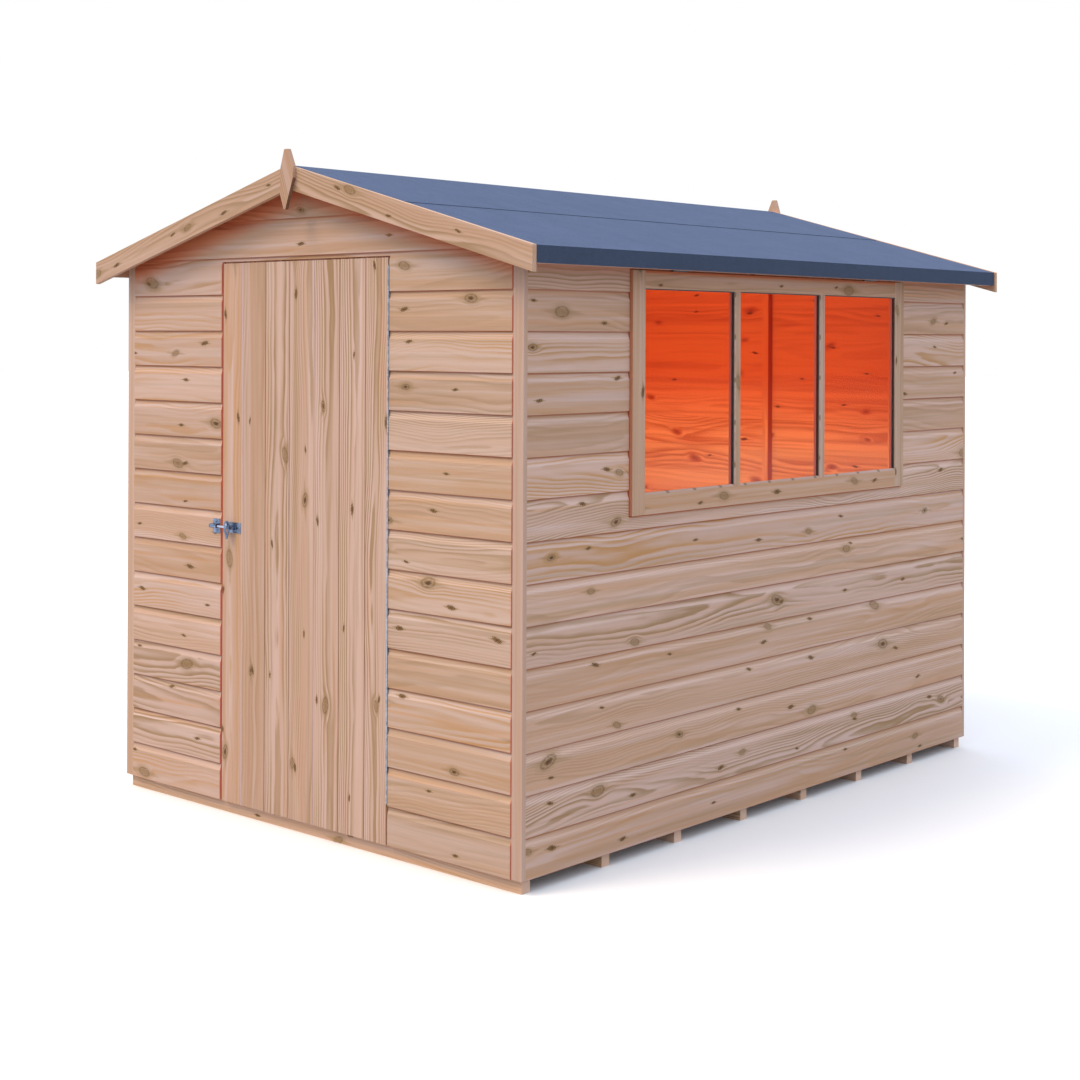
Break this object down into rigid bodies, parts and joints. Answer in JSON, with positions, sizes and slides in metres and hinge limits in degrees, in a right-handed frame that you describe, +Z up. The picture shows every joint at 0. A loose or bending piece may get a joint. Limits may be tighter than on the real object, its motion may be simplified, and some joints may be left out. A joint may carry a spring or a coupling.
{
  "type": "wooden garden shed",
  "caption": "Shiplap garden shed with an apex felt roof, a boarded door with a bolt, and a three-pane side window.",
  "frame": {"origin": "on the ground, under the middle of the shed", "axes": "+Z up, -Y out of the door, +X out of the window"},
  "size_m": [1.97, 2.582, 2.063],
  "materials": {
    "cladding_timber": "bare softwood",
    "door_timber": "bare softwood",
    "trim_timber": "bare softwood",
    "frame_timber": "stained softwood",
    "floor_timber": "bare softwood",
    "roof_felt": "mineral grit",
    "window_glass": "clear",
    "steel_fittings": "galvanised"
  },
  "bodies": {
    "shed": {"floor_bearers": "floor_timber", "floor_boards": "floor_timber", "front_boards_left": "cladding_timber", "front_boards_right": "cladding_timber", "front_boards_gable": "cladding_timber", "rear_boards": "cladding_timber", "left_boards": "cladding_timber", "right_boards_lower": "cladding_timber", "right_boards_front": "cladding_timber", "right_boards_rear": "cladding_timber", "right_boards_upper": "cladding_timber", "corner_strips": "trim_timber", "front_studs": "frame_timber", "front_rails": "frame_timber", "front_rafters": "frame_timber", "rear_studs": "frame_timber", "rear_rails": "frame_timber", "rear_rafters": "frame_timber", "left_studs": "frame_timber", "left_rails": "frame_timber", "right_studs": "frame_timber", "right_rails": "frame_timber", "roof_boards_left": "frame_timber", "roof_boards_right": "frame_timber", "roof_eave_battens": "cladding_timber", "roof_purlins": "frame_timber", "roof_ridge_board": "frame_timber", "roof_felt_left": "roof_felt", "roof_felt_right": "roof_felt", "roof_felt_ridge": "roof_felt", "barge_front_left": "trim_timber", "barge_front_right": "trim_timber", "barge_rear_left": "trim_timber", "barge_rear_right": "trim_timber", "finial_front": "trim_timber", "finial_rear": "trim_timber", "window_stiles": "trim_timber", "window_rails": "trim_timber", "window_mullions": "trim_timber", "window_glass": "window_glass", "window_hinges": "steel_fittings", "door_stops": "door_timber", "door_hinge_frame_leaf": "steel_fittings", "bolt_keeper": "steel_fittings"},
    "door": {"door_boards": "door_timber", "door_ledges": "door_timber", "door_braces": "door_timber", "door_hinge_door_leaf": "steel_fittings", "bolt_plate": "steel_fittings"},
    "bolt": {"bolt_rod": "steel_fittings"}
  },
  "joints": [
    {"name": "door_hinge", "type": "hinge", "parent": "shed", "child": "door", "pos_m": [0.3705, -1.216, 0.934], "axis": [0, 0, 1], "range_deg": [0, 150]},
    {"name": "bolt_slide", "type": "slide", "parent": "door", "child": "bolt", "axis": [-1, 0, 0], "range_m": [0, 0.014]}
  ]
}
